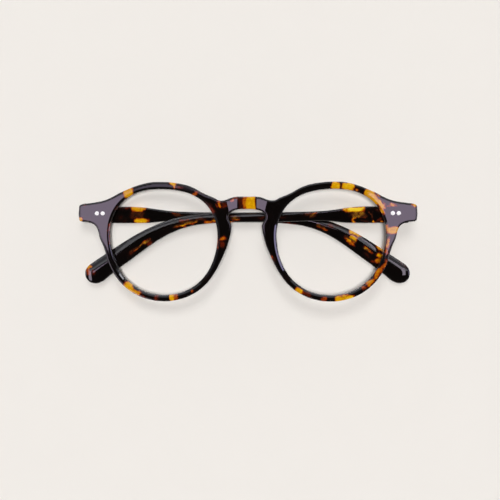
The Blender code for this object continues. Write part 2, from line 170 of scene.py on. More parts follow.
def turn_y(angle):
    return Matrix.Rotation(angle, 4, "Y")


RIGHT_AXIS = shift(RIGHT_AXIS_X, OBJECT_SHIFT_Y, AXIS_HEIGHT)
FRONT_AXIS = RIGHT_AXIS @ turn_y(-FRONT_TILT)
LEFT_AXIS = FRONT_AXIS @ shift(2 * HINGE_X) @ turn_y(INNER_LEAN)
FRONT_PLACE = FRONT_AXIS @ shift(HINGE_X, 0, HINGE_BEHIND_FACE)
TEMPLE_PLACES = {"right": RIGHT_AXIS, "left": LEFT_AXIS @ Matrix.Diagonal((-1, 1, 1, 1))}
HINGE_PLACES = {"right": RIGHT_AXIS, "left": LEFT_AXIS}
TEMPLE_BODIES = {"right": "outer_temple", "left": "inner_temple"}


def add_object(name, mesh):
    obj = bpy.data.objects.new(name, mesh)
    bpy.context.scene.collection.objects.link(obj)
    return obj


def finished_object(name, work):
    """The object made from a bmesh that is complete, with its faces turned outwards."""
    bmesh.ops.recalc_face_normals(work, faces=work.faces)
    mesh = bpy.data.meshes.new(name)
    work.to_mesh(mesh)
    work.free()
    return add_object(name, mesh)


def join_rings(work, rings):
    """Bands of quads between each ring of points and the next."""
    for upper, lower in zip(rings[:-1], rings[1:]):
        for i in range(len(upper)):
            j = (i + 1) % len(upper)
            work.faces.new((upper[i], upper[j], lower[j], lower[i]))


def settle(obj, place, body, look, replaced, smooth_angle=40):
    obj.data.transform(Matrix.Scale(MM, 4) @ place)
    if place.determinant() < 0:
        obj.data.flip_normals()
    obj.data.materials.append(look)
    obj.data.shade_smooth()
    obj.data.set_sharp_from_angle(angle=math.radians(smooth_angle))
    clean = obj.modifiers.new("crisp_normals", "WEIGHTED_NORMAL")
    clean.keep_sharp = True
    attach(obj, body)
    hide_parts(*replaced)
    return obj


# ---- outlines ----------------------------------------------------------------------------------


def smooth_loop(knots, spacing):
    """Points along a closed smooth line through knots (x, y, is_corner), evenly spaced."""
    curve = bpy.data.curves.new("outline", "CURVE")
    spline = curve.splines.new("BEZIER")
    spline.bezier_points.add(len(knots) - 1)
    spline.use_cyclic_u = True
    for knot, (x, y, corner) in zip(spline.bezier_points, knots):
        knot.handle_left_type = "VECTOR" if corner else "AUTO"
        knot.handle_right_type = "VECTOR" if corner else "AUTO"
        knot.co = (x, y, 0.0)
    source = add_object("outline", curve)
    bpy.context.view_layer.update()
    beads = spline.bezier_points
    points = []
    for here, there in zip(beads, list(beads[1:]) + [beads[0]]):
        length = (there.co - here.co).length
        steps = max(1, round(length / spacing))
        run = geometry.interpolate_bezier(here.co, here.handle_right, there.handle_left, there.co,
                                          steps + 1)
        points += [(p.x, p.y) for p in run[:-1]]
    bpy.data.objects.remove(source, do_unlink=True)
    bpy.data.curves.remove(curve)
    return np.array(points)


def opening_radius(angle):
    """Lens opening, from its centre; angle 0 points to the wearer's ear, 90 degrees up."""
    radius = OPENING_RADIUS
    for order, cosine, sine in OPENING_HARMONICS:
        radius += cosine * math.cos(order * angle) + sine * math.sin(order * angle)
    return radius


def rim_point(angle, extra):
    radius = opening_radius(angle) + extra
    return LENS_CENTRE_X + radius * math.cos(angle), radius * math.sin(angle)


def rim_outside(degrees):
    angle = math.radians(degrees)
    return (*rim_point(angle, RIM_WIDTH + RIM_TOP_EXTRA * math.sin(angle)), False)


def opening_loop(extra, side):
    """The lens opening's edge grown by extra, anticlockwise."""
    count = round(2 * math.pi * OPENING_RADIUS / OUTLINE_SPACING)
    points = np.array([rim_point(2 * math.pi * i / count, extra) for i in range(count)])
    return points if side > 0 else (points * (-1, 1))[::-1]


def front_loop():
    """The front's outer edge, anticlockwise."""
    half = [(x, y, False) for x, y in BRIDGE_TOP]
    half += [rim_outside(a) for a in range(RIM_TOP_ARC[0], RIM_TOP_ARC[1], -ARC_STEP)]
    half += [(x, y, False) for x, y in END_PIECE]
    half += [rim_outside(a) for a in range(RIM_LOWER_ARC[0], RIM_LOWER_ARC[1], -ARC_STEP)]
    half += [(x, y, False) for x, y in NOSE_SIDE]
    mirrored = [(-x, y, corner) for x, y, corner in reversed(half)]
    knots = [(*BRIDGE_TOP_MIDDLE, False)] + half + [(*BRIDGE_UNDER_MIDDLE, False)] + mirrored
    return smooth_loop(knots[::-1], OUTLINE_SPACING)


def temple_knots():
    """Outline of a temple from the lower corner of its hinge end, round by the top edge."""
    soft = TEMPLE_EDGE_ROUND
    butt = [(-BUTT_OVERHANG + soft, BUTT_UNDER, True), (-BUTT_OVERHANG, BUTT_UNDER + soft, True),
            (-BUTT_OVERHANG, BUTT_TOP - soft, True), (-BUTT_OVERHANG + soft, BUTT_TOP, True)]
    top = [(u, v, False) for u, v in TEMPLE_TOP]
    under = [(u, v, False) for u, v in TEMPLE_UNDER]
    return butt + top + under


# ---- fine plates -------------------------------------------------------------------------------


def left_normals(loop):
    """Unit normals to the left of the direction of travel, which is where the material is."""
    run = np.roll(loop, -1, 0) - np.roll(loop, 1, 0)
    run /= np.linalg.norm(run, axis=1)[:, None]
    return np.stack((-run[:, 1], run[:, 0]), 1)


def inside(points, loops):
    """Which points lie inside the loops, counting crossings of a ray along +X."""
    odd = np.zeros(len(points), bool)
    for loop in loops:
        following = np.roll(loop, -1, 0)
        for (ax, ay), (bx, by) in zip(loop, following):
            if ay == by:
                continue
            spans = (points[:, 1] < ay) != (points[:, 1] < by)
            cross = ax + (points[:, 1] - ay) * (bx - ax) / (by - ay)
            odd ^= spans & (points[:, 0] < cross)
    return odd


def distance_to(points, line):
    """Distance from each point to an open line of straight segments."""
    best = np.full(len(points), np.inf)
    for a, b in zip(line[:-1], line[1:]):
        run = b - a
        share = np.clip((points - a) @ run / max(run @ run, 1e-12), 0, 1)
        best = np.minimum(best, np.linalg.norm(points - a - share[:, None] * run, axis=1))
    return best


def closed(loop):
    return np.vstack((loop, loop[:1]))


def grid_inside(loops, spacing, extra_lines):
    """A staggered grid of points within the loops, clear of the loops and of the extra lines."""
    low, high = loops[0].min(0), loops[0].max(0)
    rows = np.arange(low[1], high[1], spacing * math.sqrt(0.75))
    points = [(x + (spacing / 2 if number % 2 else 0.0), y)
              for number, y in enumerate(rows) for x in np.arange(low[0], high[0], spacing)]
    points = np.array(points)
    points = points[inside(points, loops)]
    for line in [closed(loop) for loop in loops] + list(extra_lines):
        points = points[distance_to(points, line) > GRID_CLEARANCE * spacing]
    return points


def fill(loops, spacing, creases):
    """Points and triangles of the flat region within the loops. Loop points come first, in order."""
    lines = [line[inside(line, loops)] for line in creases]
    lines = [line for line in lines if len(line) > 1]
    inner = grid_inside(loops, spacing, lines)
    points, edges = [], []
    for loop in loops:
        first = len(points)
        points += list(loop)
        edges += [(first + i, first + (i + 1) % len(loop)) for i in range(len(loop))]
    for line in lines:
        first = len(points)
        points += list(line)
        edges += [(first + i, first + i + 1) for i in range(len(line) - 1)]
    points += list(inner)
    made = geometry.delaunay_2d_cdt([Vector(p) for p in points], edges, [], 1, 1e-6, True)
    found = np.array([tuple(p) for p in made[0]])
    order = np.full(len(found), -1)
    for new, old in enumerate(made[3]):
        if old:
            order[new] = min(old)
    triangles = np.array([list(face) for face in made[2]])
    centres = found[triangles].mean(1)
    return found, order, triangles[inside(centres, loops)]


def edge_rings(work, loop, section, top, bottom):
    """Rings of points down one edge of a plate, joined by quads."""
    normals = left_normals(loop)
    rings = []
    for inset, share, lift in section:
        place = loop + inset * normals
        height = (1 - share) * top(place) + share * bottom(place) + lift
        rings.append([work.verts.new((*p, z)) for p, z in zip(place, height)])
    for upper, lower in zip(rings[:-1], rings[1:]):
        for i in range(len(loop)):
            j = (i + 1) % len(loop)
            work.faces.new((upper[j], upper[i], lower[i], lower[j]))
    return rings


def close_face(work, rim, loops, height, creases, is_top):
    """Fills a plate's face or back within its rim of existing points."""
    points, order, triangles = fill(loops, GRID_SPACING, creases)
    verts = [rim[old] if 0 <= old < len(rim) else work.verts.new((*p, z))
             for p, old, z in zip(points, order, height(points))]
    for triangle in triangles:
        corners = [verts[i] for i in triangle]
        work.faces.new(corners if is_top else corners[::-1])


def plate(name, loops, sections, top, bottom, creases=()):
    """A closed plate with shaped edges.

    Each loop has its material on its left. sections holds, for each loop, its edge's section from
    the face to the back as (inset, share, lift): share is 0 on the face and 1 on the back.
    """
    work = bmesh.new()
    edges = [edge_rings(work, *pair, top, bottom) for pair in zip(loops, sections)]
    for end, height, lines in ((0, top, creases), (-1, bottom, ())):
        rim = [vert for rings in edges for vert in rings[end]]
        flat = [loop + section[end][0] * left_normals(loop) for loop, section in zip(loops, sections)]
        close_face(work, rim, flat, height, lines, end == 0)
    bmesh.ops.delete(work, geom=[v for v in work.verts if not v.link_faces], context="VERTS")
    return finished_object(name, work)


def rounded_edge(radius, wall_steps=5, turns=6, shoulder_steps=3):
    """Section of an edge with a soft shoulder, then a round, on both faces, for plate()."""
    slope = math.radians(SHOULDER_SLOPE)
    arc = [slope + (math.pi / 2 - slope) * i / turns for i in range(turns + 1)]
    start = radius * (1 - math.sin(slope))
    fall = math.tan(slope) * SHOULDER_WIDTH / 2
    face = []
    for i in range(shoulder_steps):
        share = i / shoulder_steps
        face.append((start + SHOULDER_WIDTH * (1 - share), 0.0, -fall * share * share))
    level = radius * math.cos(slope) - fall
    face += [(radius * (1 - math.sin(a)), 0.0, radius * math.cos(a) - level - 2 * fall) for a in arc]
    lowest = face[-1][2]
    wall = [(0.0, i / wall_steps, (1 - 2 * i / wall_steps) * lowest) for i in range(1, wall_steps)]
    back = [(inset, 1.0, -lift) for inset, share, lift in reversed(face)]
    return face + wall + back


def opening_edge():
    """Section of a lens opening: crisp front bevel, small lip, vee groove, rounded back edge."""
    slope = BEVEL_WIDTH - BEVEL_LIP
    return ([(BEVEL_WIDTH, 0, 0.0)]
            + [(BEVEL_LIP + slope * s, 0, -BEVEL_DEPTH * (1 - s)) for s in (0.66, 0.33, 0.0)]
            + [(0.03, 0, -BEVEL_DEPTH - 0.07), (0.0, 0, -BEVEL_DEPTH - 0.2), (0.0, 0, -1.0)]
            + [(0.35, 0, -1.3), (0.7, 0, -1.75), (0.7, 0, -2.05), (0.35, 0, -2.5), (0.0, 0, -2.9)]
            + [(0.0, 1, 0.6), (0.0, 1, 0.3), (0.09, 1, 0.09), (0.3, 1, 0.0)])


# ---- the front ---------------------------------------------------------------------------------


def bow(x):
    """How far forward the CAD front stands at x: the bridge leads, the end pieces are flat."""
    return BRIDGE_BOW * (1 + np.cos(math.pi * np.clip(np.abs(x), 0, BOW_END) / BOW_END)) / 2


def ease(value, low, high):
    """Smooth step from 0 at low to 1 at high."""
    share = np.clip((value - low) / (high - low), 0, 1)
    return share * share * (3 - 2 * share)


def facet_edge(y):
    """Where the bridge's side facet meets the rim at height y."""
    (high_x, high_y), (low_x, low_y) = BRIDGE_FACET_HIGH, BRIDGE_FACET_LOW
    return low_x + (y - low_y) * (high_x - low_x) / (high_y - low_y)


def rim_height(out):
    """Height of the rim's face from its slope, which eases from the bridge to the flat end piece."""
    stations = np.linspace(0.0, RIM_SLOPES[-1][0], 400)
    places, degrees = zip(*RIM_SLOPES)
    slopes = np.tan(np.radians(np.interp(stations, places, degrees)))
    steps = (slopes[1:] + slopes[:-1]) / 2 * np.diff(stations)
    heights = np.append(np.cumsum(steps[::-1])[::-1], 0.0)
    return np.interp(out, stations, heights)


def face_height(points):
    """The front's face: a flat across the bridge, a facet either side, then the rims."""
    out, y = np.abs(points[:, 0]), points[:, 1]
    edge = facet_edge(y)
    facet = BRIDGE_BOW - BRIDGE_FACET_SLOPE * np.clip(np.minimum(out, edge) - BRIDGE_FLAT, 0, None)
    meeting = (facet - rim_height(edge)) * (1 - ease(out, *RIM_MEETING))
    return np.where(out <= edge, facet, rim_height(out) + meeting)


def back_height(points):
    return bow(points[:, 0]) - FRONT_THICKNESS


def crease_lines():
    """Pairs of close lines along each crease of the bridge's face."""
    lines = []
    heights = np.arange(*CREASE_HEIGHTS, OUTLINE_SPACING)
    for side in SIDES.values():
        for nudge in (-CREASE_HALF, CREASE_HALF):
            for edge in (np.full(len(heights), BRIDGE_FLAT), facet_edge(heights)):
                lines.append(np.stack((side * (edge + nudge), heights), 1))
    return lines


def make_front(look):
    loops = [front_loop()] + [opening_loop(0.0, side)[::-1] for side in SIDES.values()]
    sections = [rounded_edge(EDGE_ROUND), opening_edge(), opening_edge()]
    front = plate("acetate_front", loops, sections, face_height, back_height, crease_lines())
    paint(front, FRONT_PATCHES_AND_CREST_HIGHLIGHT)
    return settle(front, FRONT_PLACE, "front", look, ["frame_front"], smooth_angle=18)


# ---- tortoiseshell patches, and a painted highlight line on the front --------------------------
# Each patch: centre x, centre y, half length, half width, turn in degrees, strength. Strength 1 is
# clear amber, YELLOW the palest, 0.5 a dark red one, and a negative one darkens what is under it.
# Patches weaker than SMOKY_STRENGTH have a softer edge than the rest.
YELLOW = 1.15
SMOKY_STRENGTH = 0.5
SMOKY_SOFTNESS = 1.0
PATCH_SOFTNESS = 0.5
PATCH_SQUARENESS = 2.8
PATCH_RAGGED = 0.28
PATCH_RAGGED_SCALE = 0.75
PATCH_FRACTAL = (0.6, 2.1, 3)
PATCH_BEND = 0.8
PATCH_BEND_SCALE = 0.38
PATCH_REACH = 3.5

FRONT_PATCHES_AND_CREST_HIGHLIGHT = (
    (-50.3, 21.5, 1.5, 2.1, -28, 0.86), (-49.3, 20.1, 1.4, 2.0, -28, 0.95),
    (-48.4, 21.9, 0.7, 0.9, -28, 0.70), (-31.0, 24.4, 1.5, 0.9, 0, 1.0), (-30.4, 23.3, 0.8, 0.9, 0, 0.9),
    (-28.0, 23.1, 2.2, 0.8, -12, 0.46), (-21.4, 20.0, 1.9, 0.65, 40, 0.66),
    (-19.0, 20.6, 2.6, 1.0, -30, 0.32), (-11.2, 15.8, 1.5, 0.55, -62, 0.74),
    (-12.4, 15.2, 1.2, 0.4, -62, 0.56), (-9.2, 15.4, 1.5, 1.3, 0, 0.40),
    (-15.2, 13.4, 2.7, 1.3, -42, 0.47), (-16.6, 16.2, 2.4, 1.0, -38, 0.30),
    (-10.2, 1.3, 1.6, 0.8, 25, 0.76), (-10.6, -0.9, 1.6, 1.5, 0, 0.40), (-12.6, 0.2, 0.4, 2.4, 0, 0.72),
    (-69.9, 9.4, 1.2, 1.2, 0, 0.95), (-66.8, 9.2, 1.8, 0.5, 0, 0.40), (-67.8, 15.4, 0.8, 0.4, 0, 0.50),
    # The next three patches, thin lines along the bevel's crest at the upper left of the left opening, are a
    # painted warm highlight line, not amber in the acetate.
    (-53.6, 15.0, 1.7, 0.25, 50, 0.62), (-55.9, 11.4, 1.9, 0.25, 62, 0.66),
    (-57.5, 7.2, 2.0, 0.25, 76, 0.62), (-57.7, 1.8, 0.45, 1.9, 0, 0.92),
    (-57.9, 5.6, 0.45, 2.0, -12, 0.55), (-49.4, -18.9, 2.9, 1.5, -42, 1.0),
    (-46.0, -21.0, 1.9, 1.0, -36, 0.90), (-43.4, -22.6, 1.6, 0.5, -30, 0.5),
    (-37.8, -23.4, 1.1, 1.9, 0, 0.47), (-31.3, -23.2, 1.3, 2.0, -5, 1.0),
    (-29.4, -23.2, 1.0, 1.9, 0, 0.62), (-22.9, -20.6, 0.55, 0.5, 0, 0.70),
    (-5.9, 17.5, 0.7, 0.8, 20, 0.80), (-5.2, 18.4, 0.6, 0.4, 0, 0.6), (1.7, 16.1, 2.1, 5.0, 0, 0.98),
    (-0.5, 16.1, 1.2, 5.0, 4, 0.66), (-2.2, 16.1, 1.7, 5.0, 0, 0.32), (-3.8, 17.9, 1.0, 0.6, 0, 0.5),
    (10.2, -6.4, 0.55, 1.1, -20, 0.62), (11.2, -7.4, 1.0, 1.2, 0, 0.32),
    (21.5, -20.3, 2.1, 1.6, -22, 0.98), (24.6, -21.5, 2.6, 1.3, -22, 0.40),
    (31.9, -23.9, 1.4, 1.7, 0, 0.58), (38.7, -24.2, 2.4, 1.6, 8, 1.0), (42.6, -23.5, 2.1, 1.6, 22, 1.06),
    (40.4, -22.4, 1.6, 0.7, 10, 0.9), (36.6, 23.4, 1.6, 2.2, -12, 1.02),
    (41.8, 22.9, 2.7, 1.9, -12, 1.04), (45.6, 21.6, 1.0, 0.6, -30, 0.85),
    (38.9, 22.6, 0.14, 1.9, -14, -0.55), (39.6, 21.7, 0.6, 0.3, 0, -0.5),
    (50.6, 20.2, 2.1, 2.0, -40, 0.93), (52.9, 17.6, 3.0, 1.7, -50, 0.93),
    (55.6, 15.5, 2.4, 1.2, -52, 0.92), (56.0, 13.2, 1.9, 0.7, -62, 0.9), (54.6, 19.4, 1.3, 0.4, -40, 0.8),
    (57.4, 16.3, 1.4, 0.35, -40, 0.7), (60.6, 15.3, 1.5, 0.8, -8, 0.85),
    (58.6, 14.6, 1.3, 0.4, -24, 0.66), (62.0, 14.8, 0.9, 0.35, 10, 0.6), (69.9, 15.4, 1.4, 0.9, 40, 0.90),
    (68.6, 15.6, 0.8, 0.6, 0, 0.7), (61.0, 5.0, 3.0, 1.4, 0, 0.90), (58.3, 6.6, 0.9, 1.0, 0, 0.7),
    (58.5, -0.6, 0.7, 2.6, -4, 0.84), (57.9, -3.6, 0.7, 1.6, -10, 0.66), (56.6, -9.6, 2.6, 0.8, 62, 0.66),
    (54.1, -13.0, 3.0, 1.1, 56, 0.74), (51.1, -16.6, 2.4, 1.1, 46, 0.82),
    (48.2, -19.0, 0.9, 0.9, 40, 0.6),
)
OUTER_TEMPLE_PATCHES = (
    (19.5, 14.3, 3.1, 1.4, 0, 0.92), (20.4, 8.9, 2.9, 1.4, 0, 1.02), (19.2, 11.5, 3.3, 2.0, 0, 0.42),
    (15.4, 14.7, 3.0, 0.8, 0, 0.49), (12.4, 14.5, 2.2, 0.6, 0, 0.32), (13.8, 9.2, 1.6, 1.0, 0, 0.26),
    (11.6, 10.2, 1.6, 1.2, 0, 0.24), (34.4, 12.1, 1.0, 0.28, -8, 0.70), (36.4, 11.5, 0.9, 0.3, -6, 0.66),
    (40.3, 10.4, 1.8, 0.5, -10, 0.40), (49.0, 11.0, 3.0, 0.6, 0, 0.36), (83.4, 7.9, 3.0, 0.35, -5, 0.55),
    (96.0, 7.0, 1.3, 0.9, -25, 0.62), (97.9, 6.2, 1.8, 0.8, -30, 0.58), (98.6, 5.2, 1.0, 0.6, -30, 0.86),
    (101.2, 7.0, 1.9, 1.0, -25, 0.45), (104.0, 6.8, 1.2, 0.8, -20, 0.32),
    (110.7, 4.3, 2.0, 1.0, -28, 1.0), (113.0, 3.2, 1.6, 0.8, -28, 0.9), (110.6, 1.6, 1.8, 1.5, -35, 0.96),
    (108.4, 0.9, 1.7, 0.9, -40, 0.84), (110.2, -1.0, 1.5, 0.8, -35, 0.72),
    (106.9, 1.6, 1.0, 0.5, -35, 0.5), (117.0, -3.0, 1.9, 0.6, -35, 0.96),
    (117.0, -5.4, 1.6, 0.6, -35, 0.36), (122.0, -2.9, 2.2, 0.8, -35, 0.92),
    (124.2, -5.4, 1.6, 1.2, -35, 0.86), (121.4, -5.6, 1.3, 1.0, -40, 0.95),
    (121.0, -8.2, 1.6, 1.3, -35, 0.74), (118.9, -8.4, 1.2, 0.6, -35, 0.5),
    (131.0, -8.6, 3.0, 0.6, -45, 0.40),
)
INNER_TEMPLE_PATCHES = (
    (20.7, 13.8, 3.7, 1.25, -4, 1.15), (24.3, 14.4, 2.2, 0.7, -10, 1.0), (19.8, 11.5, 3.0, 1.3, 0, 0.86),
    (17.4, 11.2, 1.4, 0.9, 0, 0.60), (21.6, 10.4, 0.5, 1.2, 20, 0.80), (21.2, 8.7, 0.5, 0.8, -20, 1.0),
    (14.6, 12.2, 1.4, 0.3, 50, 0.60), (13.6, 10.4, 0.3, 1.4, -8, 0.62), (13.2, 9.0, 0.5, 0.6, 0, 1.0),
    (12.4, 8.5, 0.8, 0.3, 0, 0.7), (10.4, 9.6, 1.6, 0.35, -35, 0.58), (9.5, 8.4, 0.8, 0.5, 0, 0.85),
    (16.6, 8.8, 2.0, 0.3, 25, 0.46), (11.8, 13.6, 1.6, 0.4, 30, 0.44), (38.9, 12.2, 1.7, 0.5, 0, 0.70),
    (39.0, 10.9, 1.2, 0.6, 0, 0.56), (41.2, 11.6, 1.6, 0.8, 0, 0.40), (52.0, 10.4, 2.2, 0.5, 0, 0.38),
    (59.9, 10.2, 1.4, 0.5, 0, 0.46), (70.9, 9.6, 1.9, 0.6, 0, 0.80), (72.9, 8.5, 1.6, 0.5, 0, 0.86),
    (72.0, 10.9, 1.8, 0.4, 0, 0.60), (80.0, 9.2, 1.6, 1.0, -5, 0.84), (82.6, 8.2, 1.7, 0.9, -5, 0.70),
    (85.6, 9.6, 2.0, 0.8, -8, 0.46), (91.4, 7.8, 4.4, 0.5, -13, 1.1), (92.4, 9.0, 3.0, 0.9, -15, 0.50),
    (92.4, 6.1, 0.5, 1.0, 10, 0.62), (95.2, 6.4, 1.4, 0.5, -20, 0.36), (111.2, -1.5, 4.0, 0.4, -32, 1.1),
    (107.5, -0.6, 1.5, 1.3, -31, 0.42), (115.3, -4.4, 1.6, 0.9, -31, 0.40),
    (124.8, -6.8, 1.0, 0.8, 0, 0.42), (132.8, -10.6, 1.3, 1.0, -40, 0.84),
    (133.6, -12.8, 0.9, 1.6, 0, 0.60), (131.2, -12.6, 1.0, 1.0, 0, 0.46),
)


def bend(x, y):
    """Shifts a point a little, unevenly, so that no patch keeps a regular outline."""
    place = (PATCH_BEND_SCALE * x, PATCH_BEND_SCALE * y)
    return (x + PATCH_BEND * noise.noise((*place, 3.7)), y + PATCH_BEND * noise.noise((*place, 9.1)))


def patch_level(x, y, z, patches):
    """How amber the acetate is at a point, from 0 for black to 1 for the palest amber; a few patches paint a
    highlight line instead.
    """
    place = (PATCH_RAGGED_SCALE * x, PATCH_RAGGED_SCALE * y, 0.5 * PATCH_RAGGED_SCALE * z)
    ragged = PATCH_RAGGED * noise.fractal(place, *PATCH_FRACTAL)
    x, y = bend(x, y)
    level = 0.0
    for px, py, long, wide, turn, strength in patches:
        away_x, away_y = x - px, y - py
        if abs(away_x) + abs(away_y) > long + wide + PATCH_REACH:
            continue
        angle = math.radians(turn)
        along = abs(away_x * math.cos(angle) + away_y * math.sin(angle)) / long
        across = abs(away_y * math.cos(angle) - away_x * math.sin(angle)) / wide
        radius = (along ** PATCH_SQUARENESS + across ** PATCH_SQUARENESS) ** (1 / PATCH_SQUARENESS)
        soft = SMOKY_SOFTNESS if 0 < strength < SMOKY_STRENGTH else PATCH_SOFTNESS
        outside = (radius - 1) * min(long, wide) + ragged
        share = min(max(0.5 - outside / (2 * soft), 0.0), 1.0)
        share = share * share * (3 - 2 * share)
        level = level * (1 + strength * share) if strength < 0 else max(level, strength * share)
    return level / YELLOW


def paint(obj, patches):
    """Stores the amber level of every point of a piece that is still in millimetres."""
    store = obj.data.attributes.new("amber", "FLOAT", "POINT")
    store.data.foreach_set("value", [patch_level(*v.co, patches) for v in obj.data.vertices])


# ---- nose pads ---------------------------------------------------------------------------------


def pad_ring(depth, side):
    """Points round a nose pad, where depth is 0 at the rim and 1 at the pad's far face."""
    swell = math.sqrt(max(1 - (PAD_REACH * depth) ** PAD_FULLNESS, 0.0))
    swell += PAD_FILLET * math.exp(-depth / PAD_FILLET_DEPTH)
    ring = []
    for step in range(PAD_AROUND):
        angle = 2 * math.pi * step / PAD_AROUND
        local = Vector((PAD_HALF[0] * swell * math.cos(angle), PAD_HALF[1] * swell * math.sin(angle), 0))
        local.rotate(Matrix.Rotation(PAD_LEAN, 3, "Z"))
        x, y = PAD_CENTRE[0] + local.x + PAD_LEAN_OUT * depth * depth, PAD_CENTRE[1] + local.y
        base = PAD_SINK - FRONT_THICKNESS + float(bow(np.array([x]))[0])
        ring.append((side * x, y, base - depth * PAD_DEPTH))
    return ring


def make_pad(word, side, look):
    """A moulded pad growing out of the back of the rim and leaning away from the nose."""
    work = bmesh.new()
    rings = [[work.verts.new(point) for point in pad_ring(ring / (PAD_RINGS - 1), side)]
             for ring in range(PAD_RINGS)]
    join_rings(work, rings)
    work.faces.new(rings[0])
    work.faces.new(rings[-1])
    obj = finished_object("nose_saddle_" + word, work)
    paint(obj, FRONT_PATCHES_AND_CREST_HIGHLIGHT)
    return settle(obj, FRONT_PLACE, "front", look, ["nose_pad_" + word], smooth_angle=60)


# ---- lenses ------------------------------------------------------------------------------------

LENS_EDGE = ((0.62, 0, 0.0), (0.5, 0, -0.05), (0.0, 0.45, 0.0), (0.0, 0.55, 0.0), (0.5, 1, 0.05),
             (0.62, 1, 0.0))


def make_lens(word, side, look):
    """A meniscus lens with a vee edge that sits in the rim's groove."""
    def top(points):
        out = (points[:, 0] - side * LENS_CENTRE_X) ** 2 + points[:, 1] ** 2
        sag = LENS_RIM_SAG - out / (2 * LENS_CURVE_RADIUS)
        return bow(points[:, 0]) - FRONT_THICKNESS / 2 + sag + LENS_THICKNESS / 2

    def bottom(points):
        return top(points) - LENS_THICKNESS

    lens = plate("lens_pane_" + word, [opening_loop(LENS_IN_GROOVE, side)], [LENS_EDGE], top, bottom)
    return settle(lens, FRONT_PLACE, "front", look, ["lens_" + word])


# ---- temples -----------------------------------------------------------------------------------

# The inside and outside faces of a temple are two shallow facets that meet along a ridge, which
# runs out at the top edge near the hinge and ends short of the tip.
RIDGE_LINE = ((-4.0, 16.0), (20.0, 15.3), (30.0, 13.1), (38.0, 12.1), (46.0, 11.45), (55.0, 10.95),
              (66.0, 10.5), (78.0, 10.2), (87.0, 9.75), (95.0, 8.2), (103.0, 5.5), (110.5, 1.7),
              (117.0, -2.6), (123.5, -6.9), (128.2, -11.0))
UPPER_FACET = math.tan(math.radians(3.9))
UPPER_CROWN = 0.011
RIDGE_HALF = 0.3
LOWER_FACET = math.tan(math.radians(3.0))

# The tip loses the ridge and is pillowed towards its edge instead.
TIP_FROM_TO = (117.0, 126.0)
PILLOW_WIDTH = 3.8
PILLOW_SLOPE = math.tan(math.radians(15.0))
OUTSIDE_SHAPE = 0.8


def ridge_points():
    """The ridge as a smooth open line."""
    knots = [(x, y, False) for x, y in RIDGE_LINE] + [(x, y - 1e-3, False) for x, y in RIDGE_LINE[-2:0:-1]]
    there_and_back = smooth_loop(knots, OUTLINE_SPACING)
    last = np.argmin(np.linalg.norm(there_and_back - RIDGE_LINE[-1], axis=1))
    return there_and_back[:last + 1]


def above(points, line):
    """Which points lie above an open line that runs along +X."""
    order = np.argsort(line[:, 0])
    return points[:, 1] > np.interp(points[:, 0], line[order, 0], line[order, 1])


def make_temple(word, patches, look):
    """A folded temple whose faces are two shallow facets with a ridge between them."""
    loop = smooth_loop(temple_knots()[::-1], OUTLINE_SPACING)
    ridge = ridge_points()

    def drop(points):
        away = distance_to(points, ridge)
        upper = UPPER_FACET * away + UPPER_CROWN * away ** 2
        facets = np.where(above(points, ridge), upper, LOWER_FACET * away)
        tip = ease(points[:, 0], *TIP_FROM_TO)
        near_edge = np.clip(1 - distance_to(points, closed(loop)) / PILLOW_WIDTH, 0, 1)
        return facets * (1 - tip) + tip * PILLOW_SLOPE * PILLOW_WIDTH / 2 * near_edge ** 2

    def top(points):
        return -TEMPLE_INSIDE_DROP - drop(points)

    def bottom(points):
        return -TEMPLE_INSIDE_DROP - TEMPLE_THICKNESS + OUTSIDE_SHAPE * drop(points)

    normals = np.gradient(ridge, axis=0)
    normals = np.stack((-normals[:, 1], normals[:, 0]), 1) / np.linalg.norm(normals, axis=1)[:, None]
    creases = [ridge + nudge * normals for nudge in (-RIDGE_HALF, RIDGE_HALF)]
    temple = plate("acetate_temple_" + word, [loop], [rounded_edge(TEMPLE_EDGE_ROUND)], top, bottom, creases)
    paint(temple, patches)
    store_core(temple, word)
    return settle(temple, TEMPLE_PLACES[word], TEMPLE_BODIES[word], look, ["temple_" + word])


# Half the width of the core wire as it shows, against distance along the temple
CORE_HALF = ((0.0, 1.3), (25.0, 1.25), (38.0, 0.95), (92.0, 0.75), (104.0, 0.5), (120.0, 0.36))


def store_core(obj, word):
    """Stores each point's place and its offset from the core wire, in half widths of the wire."""
    points = np.array([v.co[:2] for v in obj.data.vertices])
    line = np.array(CORE_START + CORE_ENDS[word])
    half = np.interp(points[:, 0], *zip(*CORE_HALF))
    offset = np.where(above(points, line), 1.0, -1.0) * distance_to(points, line) / half
    store = obj.data.attributes.new("core", "FLOAT", "POINT")
    store.data.foreach_set("value", offset.astype(np.float32))
    place = obj.data.attributes.new("along", "FLOAT_VECTOR", "POINT")
    flat = np.zeros((len(points), 3), np.float32)
    flat[:, :2] = points
    place.data.foreach_set("vector", flat.ravel())


# ---- rivets ------------------------------------------------------------------------------------


def circle(radius, height):
    turns = [2 * math.pi * i / RIVET_AROUND for i in range(RIVET_AROUND)]
    return [(radius * math.cos(a), radius * math.sin(a), height) for a in turns]


def rivet_profile(front_face, back_face):
    """Radii and heights down a rivet: crowned end, shank, flat-backed domed head."""
    crown = [(radius, front_face - drop) for radius, drop in RIVET_CROWN]
    edge = back_face - RIVET_HEAD_WALL
    head = [(RIVET_RADIUS, back_face), (RIVET_HEAD_RADIUS - RIVET_HEAD_ROUND, back_face - RIVET_HEAD_BREAK),
            (RIVET_HEAD_RADIUS, edge)]
    angles = [math.radians(90 * i / RIVET_DOME_STEPS) for i in range(1, RIVET_DOME_STEPS)]
    rise = RIVET_HEAD_HEIGHT - RIVET_HEAD_WALL
    return crown + head + [(RIVET_HEAD_RADIUS * math.cos(a), edge - rise * math.sin(a)) for a in angles]


